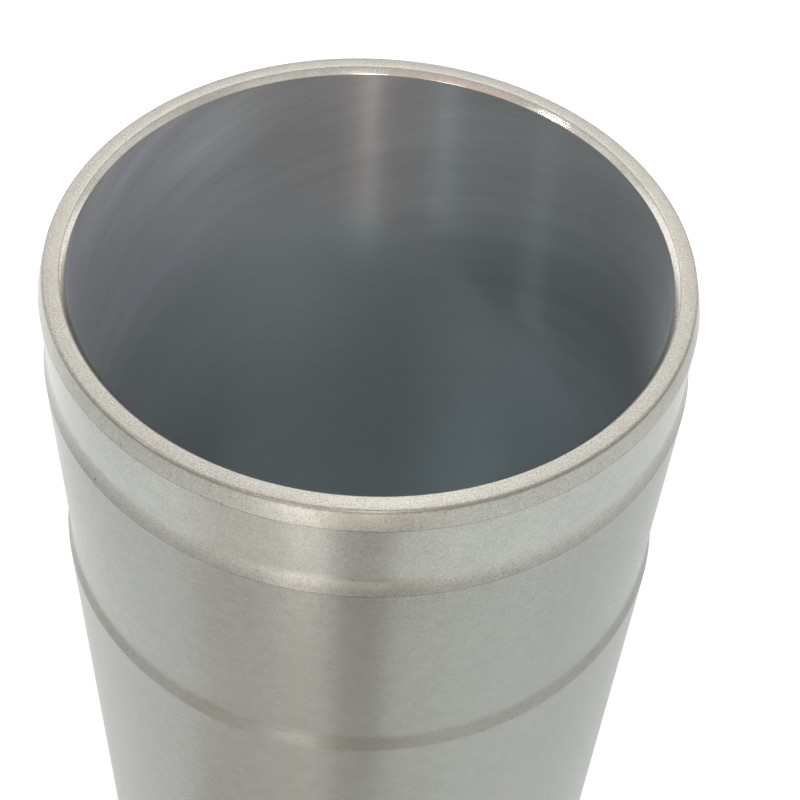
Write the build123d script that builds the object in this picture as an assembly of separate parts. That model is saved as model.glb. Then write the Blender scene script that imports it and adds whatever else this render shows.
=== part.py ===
from build123d import *
import os

# Cylinder liner: a turned sleeve that stands on its collar, with the plain
# skirt end upwards. Lengths are in millimetres and the axis of the bore is +Z.

# Overall size
liner_length = 230.0
bore_radius = 54.0

# Skirt end: the outside grows in three small steps away from the end face
end_face_radius = 57.9
pilot_radius = 59.0
belt_radius = 60.0
body_radius = 61.0

# How far below the end face each ground length of the outside starts and finishes
pilot_start = 3.85
pilot_finish = 16.6
belt_start = 20.05
belt_finish = 65.1
body_start = 68.5

# Collar at the combustion end, which hangs in the block's counterbore
collar_radius = 65.5
collar_height = 9.0
collar_edge_chamfer = 0.8
shoulder_fillet = 0.8

# Mouths of the bore
skirt_mouth_radius = 54.93
skirt_mouth_depth = 1.2
collar_mouth_radius = 55.0
collar_mouth_depth = 1.0

# Finish of the turned edges at the skirt end
end_face_edge_break = 0.3
pilot_edge_radius = 6.0
belt_edge_radius = 8.0
body_edge_radius = 4.0


def below_end(depth):
    """Height of what lies this far below the skirt's end face."""
    return liner_length - depth


def round_edges(solid, radius, height):
    """The circular edges of this radius at this height."""
    found = []
    for edge in solid.edges().filter_by(GeomType.CIRCLE):
        same_radius = abs(edge.radius - radius) < 0.01
        same_height = abs(edge.arc_center.Z - height) < 0.01
        if same_radius and same_height:
            found.append(edge)
    return found


# Half section of the wall: across the standing face, up the outside, over the
# end face and back down the bore
half_section = Polyline(
    (collar_mouth_radius, 0, 0),
    (collar_radius, 0, 0),
    (collar_radius, 0, collar_height),
    (body_radius, 0, collar_height),
    (body_radius, 0, below_end(body_start)),
    (belt_radius, 0, below_end(belt_finish)),
    (belt_radius, 0, below_end(belt_start)),
    (pilot_radius, 0, below_end(pilot_finish)),
    (pilot_radius, 0, below_end(pilot_start)),
    (end_face_radius, 0, below_end(0)),
    (skirt_mouth_radius, 0, below_end(0)),
    (bore_radius, 0, below_end(skirt_mouth_depth)),
    (bore_radius, 0, collar_mouth_depth),
    close=True,
)
liner = revolve(make_face(half_section), axis=Axis.Z, revolution_arc=360)

# Blends at the lead-in cones, so that a seal or the block's bore rides over them
liner = fillet(round_edges(liner, pilot_radius, below_end(pilot_finish)), radius=pilot_edge_radius)
liner = fillet(round_edges(liner, belt_radius, below_end(belt_finish)), radius=belt_edge_radius)
liner = fillet(round_edges(liner, body_radius, below_end(body_start)), radius=body_edge_radius)

# Collar: a root fillet at the shoulder, and both outer edges broken
liner = fillet(round_edges(liner, body_radius, collar_height), radius=shoulder_fillet)
liner = chamfer(round_edges(liner, collar_radius, collar_height), length=collar_edge_chamfer)
liner = chamfer(round_edges(liner, collar_radius, 0), length=collar_edge_chamfer)

# End face: its outer edge is broken
liner = chamfer(round_edges(liner, end_face_radius, below_end(0)), length=end_face_edge_break)

os.makedirs("parts", exist_ok=True)
export_step(liner, "parts/cylinder_liner.step")
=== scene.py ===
import math

import bpy
import bmesh
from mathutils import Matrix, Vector


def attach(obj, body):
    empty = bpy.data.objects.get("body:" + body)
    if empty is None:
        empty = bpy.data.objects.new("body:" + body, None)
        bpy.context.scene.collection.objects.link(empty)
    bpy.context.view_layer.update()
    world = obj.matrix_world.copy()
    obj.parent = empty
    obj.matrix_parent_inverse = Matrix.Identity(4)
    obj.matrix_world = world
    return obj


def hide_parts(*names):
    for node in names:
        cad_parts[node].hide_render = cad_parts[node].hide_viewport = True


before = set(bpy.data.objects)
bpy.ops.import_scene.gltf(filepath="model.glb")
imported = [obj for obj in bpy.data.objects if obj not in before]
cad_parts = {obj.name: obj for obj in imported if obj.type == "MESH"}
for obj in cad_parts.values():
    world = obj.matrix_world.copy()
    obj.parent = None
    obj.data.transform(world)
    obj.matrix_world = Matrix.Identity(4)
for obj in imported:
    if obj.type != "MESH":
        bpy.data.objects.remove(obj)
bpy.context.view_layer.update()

MM = 0.001

# ------------------------------------------------------------ the liner's turned form
LENGTH = 230.0 * MM
BORE_RADIUS = 54.0 * MM
END_FACE_RADIUS = 57.9 * MM
PILOT_RADIUS = 59.0 * MM
BELT_RADIUS = 60.0 * MM
BODY_RADIUS = 61.0 * MM
COLLAR_RADIUS = 65.5 * MM
COLLAR_HEIGHT = 9.0 * MM
SKIRT_MOUTH_RADIUS = 54.93 * MM
SKIRT_MOUTH_DEPTH = 1.2 * MM
COLLAR_MOUTH_RADIUS = 55.0 * MM
COLLAR_MOUTH_DEPTH = 1.0 * MM

# Heights of the three lead-in cones' ends
PILOT_TOP = LENGTH - 3.85 * MM
PILOT_BOTTOM = LENGTH - 16.6 * MM
BELT_TOP = LENGTH - 20.05 * MM
BELT_BOTTOM = LENGTH - 65.1 * MM
BODY_TOP = LENGTH - 68.5 * MM

# The profile as a turner's list of stops, from the collar's mouth up the outside
PROFILE = [
    (COLLAR_MOUTH_RADIUS, 0.0),
    (COLLAR_RADIUS, 0.0),
    (COLLAR_RADIUS, COLLAR_HEIGHT),
    (BODY_RADIUS, COLLAR_HEIGHT),
    (BODY_RADIUS, BODY_TOP),
    (BELT_RADIUS, BELT_BOTTOM),
    (BELT_RADIUS, BELT_TOP),
    (PILOT_RADIUS, PILOT_BOTTOM),
    (PILOT_RADIUS, PILOT_TOP),
    (END_FACE_RADIUS, LENGTH),
    (SKIRT_MOUTH_RADIUS, LENGTH),
    (BORE_RADIUS, LENGTH - SKIRT_MOUTH_DEPTH),
    (BORE_RADIUS, COLLAR_MOUTH_DEPTH),
    (COLLAR_MOUTH_RADIUS, 0.0),
]

# Edges that are rounded after turning: radius, height, how far the round reaches, segments
ROUNDED_EDGES = [
    (PILOT_RADIUS, PILOT_BOTTOM, 0.85 * MM, 6),
    (BELT_RADIUS, BELT_BOTTOM, 1.15 * MM, 6),
    (BODY_RADIUS, BODY_TOP, 0.58 * MM, 4),
    (END_FACE_RADIUS, LENGTH, 0.30 * MM, 5),
    (PILOT_RADIUS, PILOT_TOP, 0.12 * MM, 2),
    (BELT_RADIUS, BELT_TOP, 0.12 * MM, 2),
    (BODY_RADIUS, COLLAR_HEIGHT, 0.80 * MM, 6),
    (COLLAR_RADIUS, COLLAR_HEIGHT, 0.80 * MM, 1),
    (COLLAR_RADIUS, 0.0, 0.80 * MM, 1),
    (SKIRT_MOUTH_RADIUS, LENGTH, 0.30 * MM, 4),
    (BORE_RADIUS, LENGTH - SKIRT_MOUTH_DEPTH, 0.10 * MM, 2),
]

FACETS_ROUND = 384
SMOOTH_BELOW = math.radians(9.0)
SAME_PLACE = 0.01 * MM

# How far outwards a face looks, from -1 in the bore to 1 on the walls: the bore's faces
# lie below the first of these, then the mouths', the end faces' and the outside's
BORE_BELOW = -0.95
MOUTH_BELOW = -0.25
END_FACE_BELOW = 0.25

# ------------------------------------------------------------ sizes of marks on the metal
# How far below the end face the line of burr and its painted dark reflection runs
BURR_BELOW = 0.28 * MM

# How deep the wiped upper part of the bore reaches, with its painted light, and where the painted glow
# deep down starts and is full
WIPED_AND_LIT_DEPTH = 37.0 * MM
PAINTED_GLOW_DEPTH = 50.0 * MM
PAINTED_GLOW_FULL_DEPTH = 82.0 * MM

# How far a honing mark and a smear climb for each radian round the bore
HONE_CLIMB = 21.0 * MM
SMEAR_CLIMB = 18.0 * MM

# How fine each kind of noise is, as a count of its blobs or lines in a metre
SPECKS = 4300.0
FLAKES = 2300.0
FAINT_PORES = 2600.0
DEEP_PORES = 1500.0
FRINGES = 1500.0
RAGS = 900.0
MOTTLES = 420.0
CLOUDS = 26.0
TOOL_MARKS = 3600.0
BROAD_MARKS = 160.0
HONE_MARKS = 2400.0
SMEARS = 240.0
BORE_PATCHES = 38.0
BORE_CLOUDS = 22.0

# ------------------------------------------------------------ room
TOP = (0.0, 0.0, LENGTH)
FLOOR_SIZE = 12.0
FLOOR_COLOUR = (0.8, 0.8, 0.8, 1.0)
FLOOR_GLOW = 0.10

# The floor fades into the background's white between these distances from the liner
FLOOR_SHOWN_TO = 0.26
WHITE_FROM = 0.60

# The world's light on dull surfaces, where a strength of 1 is white
DULL_LIGHT = 0.25

MATS_SIZE = 1.6
MATS_HEIGHT = 1.0 * MM

CAMERA_PLACE = (0.0, -202.3 * MM, LENGTH + 187.35 * MM)
CAMERA_TURN = (41.744, -2.689, 1.109)
CAMERA_LENS = 69.4
CAMERA_SENSOR = 36.0


# ------------------------------------------------------------ shader writing
class Signal:
    """A number, colour or vector on its way through a material, with arithmetic on numbers."""

    def __init__(self, tree, socket):
        self.tree = tree
        self.socket = socket

    def math(self, operation, *operands):
        node = self.tree.nodes.new("ShaderNodeMath")
        node.operation = operation
        for socket, value in zip(node.inputs, operands):
            feed(self.tree, socket, value)
        return Signal(self.tree, node.outputs[0])

    def __add__(self, other):
        return self.math("ADD", self, other)

    def __radd__(self, other):
        return self.math("ADD", other, self)

    def __sub__(self, other):
        return self.math("SUBTRACT", self, other)

    def __rsub__(self, other):
        return self.math("SUBTRACT", other, self)

    def __mul__(self, other):
        return self.math("MULTIPLY", self, other)

    def __pow__(self, other):
        return self.math("POWER", self, other)

    def __neg__(self):
        return self.math("MULTIPLY", self, -1.0)

    def __abs__(self):
        return self.math("ABSOLUTE", self)

    def larger(self, other):
        return self.math("MAXIMUM", self, other)

    def smaller(self, other):
        return self.math("MINIMUM", self, other)

    def angle(self, other):
        """The angle, in radians, whose sine and cosine go as this number and the other."""
        return self.math("ARCTAN2", self, other)


def feed(tree, socket, value):
    """Links a signal to a socket, or writes a constant on it."""
    if isinstance(value, Signal):
        tree.links.new(value.socket, socket)
    else:
        socket.default_value = value


class Finish:
    """A material, and the one way in which its nodes are added."""

    def __init__(self, name):
        self.material = bpy.data.materials.new(name)
        self.material.use_nodes = True
        self.tree = self.material.node_tree
        self.tree.nodes.clear()

    def node(self, kind, sockets, settings=None, output=0):
        node = self.tree.nodes.new(kind)
        for name, value in (settings or {}).items():
            setattr(node, name, value)
        for name, value in sockets.items():
            feed(self.tree, node.inputs[name], value)
        return Signal(self.tree, node.outputs[output])

    def split(self, vector):
        """The x, y and z of a vector."""
        parts = self.node("ShaderNodeSeparateXYZ", {"Vector": vector}).socket.node.outputs
        return [Signal(self.tree, part) for part in parts]

    def place(self):
        """Where a point of the surface lies on the object, as x, y and z."""
        return self.split(self.node("ShaderNodeTexCoord", {}, output="Object"))

    def up(self):
        """How far the surface faces up, from 0 on an upright wall to 1 on a flat top."""
        return self.split(self.node("ShaderNodeNewGeometry", {}, output="Normal"))[2]

    def vector(self, x, y, z):
        return self.node("ShaderNodeCombineXYZ", {"X": x, "Y": y, "Z": z})

    def noise(self, vector, scale, detail=2.0, roughness=0.5):
        sockets = {"Vector": vector, "Scale": scale, "Detail": detail, "Roughness": roughness}
        return self.node("ShaderNodeTexNoise", sockets)

    def smooth(self, value, low, high):
        """0 below low, 1 above high and a smooth step between."""
        sockets = {"Value": value, "From Min": low, "From Max": high}
        return self.node("ShaderNodeMapRange", sockets, {"interpolation_type": "SMOOTHSTEP"})

    def mix(self, share, first, second, blend="MIX"):
        """Colour first where share is 0 and second where it is 1."""
        sockets = {0: share, 6: first, 7: second}
        return self.node("ShaderNodeMix", sockets, {"data_type": "RGBA", "blend_type": blend}, output=2)

    def shade(self, colour, light):
        """A colour made lighter or darker by this factor."""
        return self.mix(1.0, colour, self.vector(light, light, light), "MULTIPLY")

    def bump(self, height, depth):
        return self.node("ShaderNodeBump", {"Strength": 1.0, "Distance": depth, "Height": height})

    def glow(self, colour, strength=1.0):
        return self.node("ShaderNodeEmission", {"Color": colour, "Strength": strength})

    def show(self, shader):
        """Makes this shader the surface of the material, which is then complete."""
        output = self.tree.nodes.new("ShaderNodeOutputMaterial")
        feed(self.tree, output.inputs["Surface"], shader)
        return self.material


def diagonal(across, along):
    """The straight way from corner to corner of a rectangle with these sides."""
    return (across * across + along * along) ** 0.5


def rgb(red, green, blue):
    """A colour from its 0 to 255 values, as a shader takes it."""
    def linear(value):
        value = value / 255
        return value / 12.92 if value <= 0.04045 else ((value + 0.055) / 1.055) ** 2.4

    return (linear(red), linear(green), linear(blue), 1.0)


# ------------------------------------------------------------ finishes
def open_pores(finish, point, lean, pits):
    """Many faint pores and a few deep ones, most of them where the tool tore the metal."""
    faint = finish.smooth(finish.noise(point, FAINT_PORES, 1.0), 0.60, 0.76) * 0.25
    deep = finish.smooth(finish.noise(point, DEEP_PORES, 2.0, 0.6), 0.69, 0.74) * 0.8
    return faint.larger(deep) * (0.3 + lean * 0.7) * pits


def cone_edge_line(finish, point, z):
    """A fine ragged dark line along the lower edge of each upper cone."""
    ragged = finish.noise(point, RAGS, 4.0, 0.75)
    from_line = abs(z - PILOT_TOP).smaller(abs(z - BELT_TOP))
    return (1.0 - finish.smooth(from_line, 0.03 * MM, 0.22 * MM)) * ragged


def burr_and_painted_edge_shade(finish, point, radius, z):
    """The broken edge round the end face: a soft ragged line of burr, with a painted dark reflection
    laid on it all round.
    """
    from_burr = diagonal(radius - END_FACE_RADIUS, z - (LENGTH - BURR_BELOW))
    fringe = finish.noise(point, FRINGES, 3.0, 0.7)
    reach = from_burr + (fringe - 0.5) * (0.7 * MM)
    return (1.0 - finish.smooth(reach, 0.12 * MM, 0.58 * MM)) * 0.62


def painted_lip_shade(finish, radius, y):
    """The end face's sharp inner edge: a painted shade line, dark in front and fading towards the back.
    """
    from_lip = abs(radius - SKIRT_MOUTH_RADIUS)
    fading_back = finish.smooth(y, -25.0 * MM, 5.0 * MM)
    return (1.0 - finish.smooth(from_lip, 0.04 * MM, 0.20 * MM)) * (0.5 - fading_back * 0.45)


def turned_iron(name, colours, shines, marking, grain, pits):
    """Grey iron as a lathe or a grinder leaves it.

    colours and shines are the colours and the roughness of upright walls, which are
    ground, and of what leans or lies flat, which is left as turned. marking says how
    strongly the circular tool marks show, grain how coarse the cut metal sparkles, and
    pits how many open pores it has.
    """
    finish = Finish(name)
    x, y, z = finish.place()
    point = finish.vector(x, y, z)
    radius = diagonal(x, y)
    lean = finish.smooth(finish.up(), 0.08, 0.22)

    def round_marks(along, across):
        """A place for noise that draws it out into marks that run round the axis.

        They lie one below the other on a wall, and one inside the other on a face.
        """
        return finish.vector(x * along, y * along, (z - radius) * across)

    marks = finish.noise(round_marks(14.0, TOOL_MARKS), 1.0, 3.0, 0.6)
    broad = finish.noise(round_marks(9.0, BROAD_MARKS), 1.0, 2.0)

    speck = finish.smooth(finish.noise(point, SPECKS, 1.0), 0.30, 0.70)
    flake = finish.noise(point, FLAKES, 2.0, 0.6)
    mottle = finish.noise(point, MOTTLES, 2.0, 0.6)
    cloud = finish.noise(point, CLOUDS, 4.0, 0.6)
    pores = open_pores(finish, point, lean, pits)
    burr_and_painted_shade = burr_and_painted_edge_shade(finish, point, radius, z)

    # The grain is coarsest by the end face, and the surface is darker below the pilot, the lowest cone
    # most
    near_top = finish.smooth(z, BODY_TOP, PILOT_TOP)
    coarse = (0.90 + lean * 0.10) * (0.20 + near_top * 0.80) * grain
    below_pilot = 1.0 - finish.smooth(z, PILOT_BOTTOM - 3.0 * MM, PILOT_BOTTOM)
    deeper = 1.0 - finish.smooth(z, BODY_TOP, PILOT_BOTTOM)
    light = 1.0 + (marks - 0.5) * marking + ((speck - 0.5) * 0.26 + (flake - 0.5) * 0.45) * coarse
    light = light + (mottle - 0.5) * 0.20 + (broad - 0.5) * 0.03 + (cloud - 0.5) * 0.12
    light = light * (1.0 - below_pilot * 0.22 - deeper * lean * 0.10)
    light = light * (1.0 - cone_edge_line(finish, point, z) * 0.45)

    ground_colour, turned_colour = colours
    base = finish.shade(finish.mix(lean, ground_colour, turned_colour), light)
    base = finish.mix(pores, base, rgb(72, 66, 60))
    # Painted reflection: the dark line that the rounded edge mirrors, laid over its burr all round
    base = finish.mix(burr_and_painted_shade, base, rgb(112, 103, 93))
    # Painted shade: a dark line along the end face's inner edge, darkest in front
    base = finish.mix(painted_lip_shade(finish, radius, y), base, rgb(90, 90, 86))

    ground_shine, turned_shine = shines
    shine = ground_shine + lean * (turned_shine - ground_shine)
    shine = shine + (marks - 0.5) * 0.02 + (cloud - 0.5) * 0.06 + pores * 0.2 + burr_and_painted_shade * 0.1
    height = marks * (marking * 0.4) + (speck * 0.4 + flake) * (0.08 + lean * 0.26) - pores * 1.5
    return finish.show(finish.node("ShaderNodeBsdfPrincipled", {
        "Base Color": base,
        "Metallic": 1.0,
        "Roughness": shine,
        "Anisotropic": 0.7,
        "Anisotropic Rotation": 0.25,
        "Normal": finish.bump(height, 0.03 * MM),
    }))


def turned_end():
    colour = rgb(160, 157, 149)
    return turned_iron("turned_end", (colour, colour), (0.32, 0.32), marking=0.25, grain=1.6, pits=0.5)


def turned_outside():
    colours = (rgb(175, 177, 172), rgb(176, 176, 169))
    return turned_iron("turned_outside", colours, (0.28, 0.33), marking=0.05, grain=1.0, pits=0.9)


def turned_mouth():
    colour = rgb(172, 168, 160)
    return turned_iron("turned_mouth", (colour, colour), (0.20, 0.20), marking=0.15, grain=0.6, pits=0.4)


def honed_bore():
    """The bore: dull grey and finely honed, wiped in streaks round its upper end, with painted light and
    shade.
    """
    finish = Finish("honed_bore")
    x, y, z = finish.place()
    point = finish.vector(x, y, z)
    angle = x.angle(y)

    def climbing_marks(along, across, climb):
        """A place for noise that draws it out into marks that climb round the bore."""
        return finish.vector(x * along, y * along, (z + angle * climb) * across)

    hone_up = finish.noise(climbing_marks(6.0, HONE_MARKS, HONE_CLIMB), 1.0, 2.0)
    hone_down = finish.noise(climbing_marks(6.0, HONE_MARKS, -HONE_CLIMB), 1.0, 2.0)
    streaks = finish.noise(climbing_marks(20.0, SMEARS, -SMEAR_CLIMB), 1.0, 2.5)
    cloud = finish.noise(point, BORE_CLOUDS, 3.0, 0.6)
    patches = finish.smooth(finish.noise(point, BORE_PATCHES, 2.0), 0.35, 0.65)

    leftward = 1.0 - finish.smooth(x, -44.0 * MM, -16.0 * MM)
    midway = finish.smooth(x, -40.0 * MM, -14.0 * MM) * (1.0 - finish.smooth(x, 2.0 * MM, 18.0 * MM))
    rightward = finish.smooth(x, 4.0 * MM, 42.0 * MM)

    # The wiped part, glossier than below and on the left lit with painted light, ends in a thin film,
    # lower down on the right and softly on the left
    drop = (x * 0.70).larger(x * -0.15)
    wiped_and_lit_to = LENGTH - WIPED_AND_LIT_DEPTH - drop + (cloud - 0.5) * (8.0 * MM)
    wiped_and_lit = finish.smooth((z - wiped_and_lit_to) * (1.0 - leftward * 0.7), -3.0 * MM, 3.0 * MM)
    smear = (streaks - 0.5) * (0.25 + leftward * patches * 0.9) * (0.15 + wiped_and_lit * 0.85)

    # Painted shade darkens it by the mouth, and a teal pool of painted light lies deep down on the right
    top = finish.smooth(z - x * 0.25, LENGTH - 40.0 * MM, LENGTH - 6.0 * MM) * (1.0 - leftward * 0.6)
    deep = 1.0 - finish.smooth(z - x * 0.3, LENGTH - PAINTED_GLOW_FULL_DEPTH, LENGTH - PAINTED_GLOW_DEPTH)
    painted_glow = deep * (rightward * 1.12 - 0.12)
    # Painted light lightens the wiped part on the left
    light = 0.88 + wiped_and_lit * leftward * 0.25 - top * 0.19 + painted_glow * 0.57
    light = light + (hone_up + hone_down - 1.0) * 0.10 + (cloud - 0.5) * 0.16 + smear

    # The tints of the wiped part on the left and in the middle go with its painted light
    tint = finish.mix(wiped_and_lit * leftward, rgb(165, 171, 173), rgb(168, 169, 175))
    tint = finish.mix(wiped_and_lit * midway, tint, rgb(170, 168, 170))
    # The teal tint of the pool of painted light deep down
    tint = finish.mix(painted_glow * 0.8, tint, rgb(159, 171, 174))
    return finish.show(finish.node("ShaderNodeBsdfPrincipled", {
        "Base Color": finish.shade(tint, light),
        "Metallic": 0.4,
        "Roughness": 0.38 - wiped_and_lit * 0.06 + (cloud - 0.5) * 0.03,
        "Anisotropic": 1.0,
        "Anisotropic Rotation": 0.25,
        "Normal": finish.bump(hone_up + hone_down, 0.003 * MM),
    }))


# ------------------------------------------------------------ modelling
def is_at(vertex, radius, height):
    same_radius = abs(vertex.co.xy.length - radius) < SAME_PLACE
    return same_radius and abs(vertex.co.z - height) < SAME_PLACE


def turn_sleeve():
    """Draws one ring out through the profile's stops, and closes it on itself."""
    first_radius, first_height = PROFILE[0]
    bpy.ops.object.select_all(action="DESELECT")
    bpy.ops.mesh.primitive_circle_add(
        vertices=FACETS_ROUND, radius=first_radius, location=(0, 0, first_height)
    )
    sleeve = bpy.context.active_object
    sleeve.name = "liner"
    bpy.ops.object.mode_set(mode="EDIT")
    bpy.ops.mesh.select_all(action="SELECT")
    for (radius, height), (next_radius, next_height) in zip(PROFILE, PROFILE[1:]):
        rise = (0, 0, next_height - height)
        grow = next_radius / radius
        bpy.ops.mesh.extrude_edges_move(TRANSFORM_OT_translate={"value": rise})
        bpy.ops.transform.resize(value=(grow, grow, 1), center_override=(0, 0, next_height))
    bpy.ops.mesh.select_all(action="SELECT")
    bpy.ops.mesh.remove_doubles(threshold=SAME_PLACE / 10)
    bpy.ops.mesh.normals_make_consistent(inside=False)
    return sleeve


def round_edges(sleeve):
    """Rounds each ring of the list, with the sleeve open for editing."""
    for radius, height, reach, segments in ROUNDED_EDGES:
        bpy.ops.mesh.select_mode(type="EDGE")
        bpy.ops.mesh.select_all(action="DESELECT")
        mesh = bmesh.from_edit_mesh(sleeve.data)
        for edge in mesh.edges:
            if all(is_at(vertex, radius, height) for vertex in edge.verts):
                edge.select_set(True)
        bmesh.update_edit_mesh(sleeve.data)
        bpy.ops.mesh.bevel(offset_type="OFFSET", offset=reach, segments=segments, profile=0.5)


def finish_of(face):
    """The finish of a face, from where it looks: 0 bore, 1 end faces, 2 outside, 3 mouths."""
    centre = face.calc_center_median()
    outward = face.normal.xy.dot(centre.xy) / centre.xy.length
    if outward < BORE_BELOW:
        return 0
    if outward < MOUTH_BELOW:
        return 3
    if outward < END_FACE_BELOW:
        return 1
    return 2


def build_liner():
    sleeve = turn_sleeve()
    round_edges(sleeve)
    mesh = bmesh.from_edit_mesh(sleeve.data)
    for face in mesh.faces:
        face.material_index = finish_of(face)
    bmesh.update_edit_mesh(sleeve.data)
    bpy.ops.object.mode_set(mode="OBJECT")
    bpy.ops.object.select_all(action="DESELECT")
    sleeve.select_set(True)
    bpy.ops.object.transform_apply(location=True, rotation=True, scale=True)
    bpy.ops.object.shade_smooth_by_angle(angle=SMOOTH_BELOW)
    for finish in (honed_bore(), turned_end(), turned_outside(), turned_mouth()):
        sleeve.data.materials.append(finish)
    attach(sleeve, "root")
    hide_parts("cylinder_liner")


# ------------------------------------------------------------ room
def light_path(tree, name):
    """1 for light that goes this way and 0 for all other light."""
    path = tree.nodes.new("ShaderNodeLightPath")
    return Signal(tree, path.outputs[name])


def shown_white(tree, strength):
    """The strength for what the camera, a reflection or glass shows, else 0."""
    camera = light_path(tree, "Is Camera Ray")
    glossy = light_path(tree, "Is Glossy Ray")
    clear = light_path(tree, "Is Transmission Ray")
    return camera.larger(glossy).larger(clear) * strength


def lay_floor():
    bpy.ops.object.select_all(action="DESELECT")
    bpy.ops.mesh.primitive_plane_add(size=FLOOR_SIZE, location=(0, 0, 0))
    floor = bpy.context.active_object
    floor.name = "floor"
    finish = Finish("pale_floor")
    white = (1.0, 1.0, 1.0, 1.0)
    dull = finish.node("ShaderNodeBsdfDiffuse", {"Color": FLOOR_COLOUR})
    lift = finish.glow(white, shown_white(finish.tree, FLOOR_GLOW))
    near = finish.node("ShaderNodeAddShader", {0: dull, 1: lift})

    # Far off, what the camera sees of the floor turns into the white of the background
    x, y = finish.place()[:2]
    far_off = finish.smooth(diagonal(x, y), FLOOR_SHOWN_TO, WHITE_FROM)
    share = far_off * light_path(finish.tree, "Is Camera Ray")
    shown = finish.node("ShaderNodeMixShader", {0: share, 1: near, 2: finish.glow(white)})
    floor.data.materials.append(finish.show(shown))


def stage_card(card, finish, share, colour):
    """Makes a card that only the metal shows, glowing where share is 1 and clear at 0."""
    card.visible_camera = False
    card.visible_diffuse = False
    card.visible_shadow = False
    clear = finish.node("ShaderNodeBsdfTransparent", {})
    shown = finish.node("ShaderNodeMixShader", {0: share, 1: clear, 2: finish.glow(colour)})
    card.data.materials.append(finish.show(shown))


def place_card(name, place, turn, width, height, colour, softness=0.02):
    """A card that is only there for the metal to mirror, turned by these degrees.

    Its edges fade over softness, in metres.
    """
    bpy.ops.object.select_all(action="DESELECT")
    bpy.ops.mesh.primitive_plane_add(size=1.0, location=place)
    card = bpy.context.active_object
    card.name = name
    card.scale = (width, height, 1.0)
    card.rotation_euler = [math.radians(degrees) for degrees in turn]
    finish = Finish(name)
    x, y = finish.place()[:2]
    across = finish.smooth(0.5 - abs(x), 0.0, min(softness / width, 0.5))
    along = finish.smooth(0.5 - abs(y), 0.0, min(softness / height, 0.5))
    stage_card(card, finish, across * along, (*colour, 1.0))


def lay_mats(name, mats):
    """Lays soft-edged mats round the liner, later ones over earlier ones.

    A mat is a sector of a ring, given as angles, radii and colour. The angles are its
    middle, from the front towards the right, its half width and how softly its sides
    fade, in degrees. The radii are its near and far ends and how softly they fade.
    """
    bpy.ops.object.select_all(action="DESELECT")
    bpy.ops.mesh.primitive_plane_add(size=MATS_SIZE, location=(0, 0, MATS_HEIGHT))
    card = bpy.context.active_object
    card.name = name
    finish = Finish(name)
    x, y = finish.place()[:2]
    radius = diagonal(x, y)
    degrees = x.angle(-y) * math.degrees(1.0)
    shown = 0.0
    colour = (1.0, 1.0, 1.0, 1.0)
    for (middle, half, side_fade), (near, far, end_fade), tone in mats:
        share = 1.0 - finish.smooth(abs(degrees - middle), half - side_fade, half + side_fade)
        share = share * finish.smooth(radius, near - end_fade, near + end_fade)
        share = share * (1.0 - finish.smooth(radius, far - end_fade, far + end_fade))
        colour = finish.mix(share, colour, (*tone, 1.0))
        shown = share.larger(shown)
    stage_card(card, finish, shown, colour)


def light_world():
    world = bpy.data.worlds.new("studio")
    bpy.context.scene.world = world
    world.use_nodes = True
    tree = world.node_tree
    background = tree.nodes["Background"]
    background.inputs["Color"].default_value = (1.0, 1.0, 1.0, 1.0)
    feed(tree, background.inputs["Strength"], DULL_LIGHT + shown_white(tree, 1.0 - DULL_LIGHT))


def hang_softbox(name, place, size, brightness, colour=(1, 1, 1), aim=TOP, mirrored=True, dull=True):
    """A rectangular lamp whose face is as bright as given, where 1 is white.

    One that isn't mirrored lights what is dull, and doesn't show in polished metal.
    One that isn't dull only shows in polished metal.
    """
    data = bpy.data.lights.new(name, "AREA")
    data.shape = "RECTANGLE"
    data.size, data.size_y = size
    data.energy = brightness * data.size * data.size_y * math.pi
    data.color = colour
    lamp = bpy.data.objects.new(name, data)
    bpy.context.scene.collection.objects.link(lamp)
    lamp.location = place
    lamp.rotation_euler = (Vector(aim) - Vector(place)).to_track_quat("-Z", "Y").to_euler()
    lamp.visible_camera = False
    lamp.visible_glossy = mirrored
    lamp.visible_diffuse = dull


def light_dull_surfaces():
    """The lamps for the bore and the floor, which polished metal doesn't show."""
    low = (0.0, 0.0, 0.1)
    hang_softbox("back_key", (-0.20, 0.60, 0.55), (0.45, 0.30), 9.0, aim=low, mirrored=False)
    hang_softbox("right_key", (0.66, -0.32, 1.20), (0.80, 0.80), 3.0, mirrored=False)
    hang_softbox("overhead_key", (0.0, 0.0, 1.60), (0.50, 0.50), 6.5, mirrored=False)
    hang_softbox("front_left_key", (-0.55, -0.50, 1.60), (0.50, 0.50), 3.8, mirrored=False)


def light_end_face_and_mouth():
    """The softboxes and the card that the end face and the mouth's cone show."""
    hang_softbox("back_high_softbox", (0.0, 1.2, 1.62), (1.6, 0.75), 0.95)
    hang_softbox("back_low_softbox", (0.0, 1.3, 0.96), (1.6, 0.60), 0.08)
    hang_softbox("back_bright_panel", (0.05, 1.15, 1.80), (0.20, 0.30), 6.5)
    hang_softbox("left_back_panel", (-1.02, 0.82, 0.35), (1.5, 0.70), 1.4)
    hang_softbox("left_panel", (-1.25, -0.05, 0.78), (0.5, 0.35), 0.7)
    hang_softbox("left_window", (-1.185, -0.475, 0.96), (0.08, 0.06), 105.0, dull=False)
    hang_softbox("right_front_panel", (0.75, -1.00, 1.15), (0.9, 0.40), 0.45)
    hang_softbox("right_panel", (1.24, 0.15, 0.68), (0.9, 0.50), 0.42)
    hang_softbox("right_back_panel", (0.90, 0.94, 0.23), (0.9, 0.46), 1.8)
    hang_softbox("small_window", (0.20, -1.28, 1.24), (0.07, 0.12), 11.0)
    pink = (1.80, 1.32, 1.16)
    place_card("pink_card", (-0.65, -1.13, 1.18), (53, 0, -30), 1.25, 0.40, pink, softness=0.1)


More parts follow.
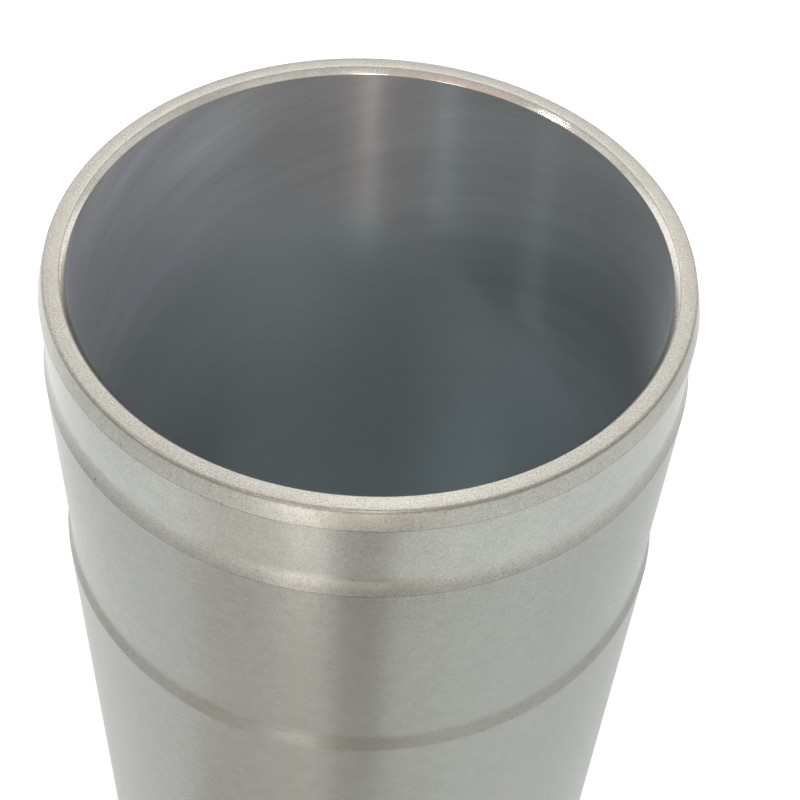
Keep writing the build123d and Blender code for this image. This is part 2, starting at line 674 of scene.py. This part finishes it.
def light_bore():
    """The upright strips in front show as pale bands down the bore's far side."""
    warm = (1.0, 0.94, 0.86)
    cool = (0.92, 0.98, 1.0)
    orange = (1.0, 0.78, 0.58)
    hang_softbox("front_band", (0.1, -1.3, 0.47), (1.9, 0.12), 1.0, warm)
    hang_softbox("front_strip", (0.06, -1.28, 0.58), (0.06, 0.56), 27.0, warm)
    hang_softbox("strip_head", (0.06, -1.28, 0.70), (0.06, 0.14), 46.0, warm)
    hang_softbox("warm_strip", (0.19, -1.27, 0.58), (0.04, 0.50), 14.0, orange)
    hang_softbox("second_strip", (-0.55, -1.16, 0.58), (0.05, 0.56), 9.0, cool)
    hang_softbox("second_head", (-0.55, -1.16, 0.70), (0.05, 0.14), 34.0, cool)


def light_outside():
    """The low panel, the cards and the mats that the upright walls and the cones show."""
    rosy = (1.0, 0.90, 0.87)
    low = (0.0, 0.0, 0.20)
    hang_softbox("low_panel", (-0.225, -0.77, 0.20), (0.17, 0.40), 1.62, rosy, aim=low)
    dark = (0.12, 0.11, 0.10)
    pale = (1.25, 1.27, 1.27)
    place_card("grey_card", (0.06, -0.85, 0.20), (90, 0, 4), 0.33, 0.40, dark, softness=0.06)
    place_card("pale_card", (0.50, -0.36, 0.06), (90, 0, 54), 0.80, 0.11, pale)
    lay_mats("mats", [
        # Under the open bore
        ((0.0, 180.0, 20.0), (0.0, 0.052, 0.001), (0.72, 0.90, 0.92)),
        # On the left, for the walls, and further out for the cones
        ((-65.0, 8.0, 34.0), (0.08, 0.24, 0.04), (0.97, 0.97, 0.97)),
        ((-85.0, 20.0, 12.0), (0.27, 0.42, 0.05), (0.80, 0.80, 0.80)),
        ((-66.0, 16.0, 12.0), (0.42, 0.54, 0.05), (0.80, 0.80, 0.80)),
        # On the right, for the walls, then the lowest cone, then the upper cones
        ((95.0, 40.0, 15.0), (0.08, 0.26, 0.05), (1.01, 1.02, 1.02)),
        ((95.0, 40.0, 15.0), (0.34, 0.50, 0.05), (0.95, 0.95, 0.95)),
        ((74.0, 20.0, 12.0), (0.60, 0.80, 0.04), (1.50, 1.50, 1.48)),
        # In front on the left, rosy, with a bright sector further out for the cones
        ((-17.0, 9.0, 6.0), (0.08, 0.26, 0.05), (0.94, 0.87, 0.80)),
        ((-37.0, 17.0, 9.0), (0.15, 0.46, 0.05), (0.90, 0.84, 0.78)),
        ((-38.0, 17.0, 9.0), (0.08, 0.15, 0.03), (0.72, 0.68, 0.63)),
        ((-15.0, 6.0, 4.0), (0.26, 0.57, 0.05), (1.80, 1.66, 1.55)),
        # In front on the right
        ((38.0, 9.0, 6.0), (0.08, 0.70, 0.04), (1.06, 1.08, 1.05)),
        ((16.0, 8.0, 5.0), (0.36, 0.80, 0.05), (0.58, 0.57, 0.51)),
        # The dark stripe straight in front, a painted shadow near the liner, and darkest far out for the
        # cones
        ((1.5, 9.5, 5.0), (0.145, 0.19, 0.02), (0.36, 0.335, 0.30)),
        ((1.0, 9.5, 5.0), (0.19, 0.28, 0.02), (0.66, 0.62, 0.56)),
        ((2.5, 10.0, 4.0), (0.29, 0.80, 0.03), (0.15, 0.14, 0.12)),
    ])


def set_camera():
    data = bpy.data.cameras.new("camera")
    data.sensor_width = CAMERA_SENSOR
    data.lens = CAMERA_LENS
    camera = bpy.data.objects.new("camera", data)
    bpy.context.scene.collection.objects.link(camera)
    camera.location = CAMERA_PLACE
    camera.rotation_euler = [math.radians(degrees) for degrees in CAMERA_TURN]
    bpy.context.scene.camera = camera


build_liner()
lay_floor()
light_world()
light_dull_surfaces()
light_end_face_and_mouth()
light_bore()
light_outside()
set_camera()

bpy.context.scene.view_settings.view_transform = "Standard"
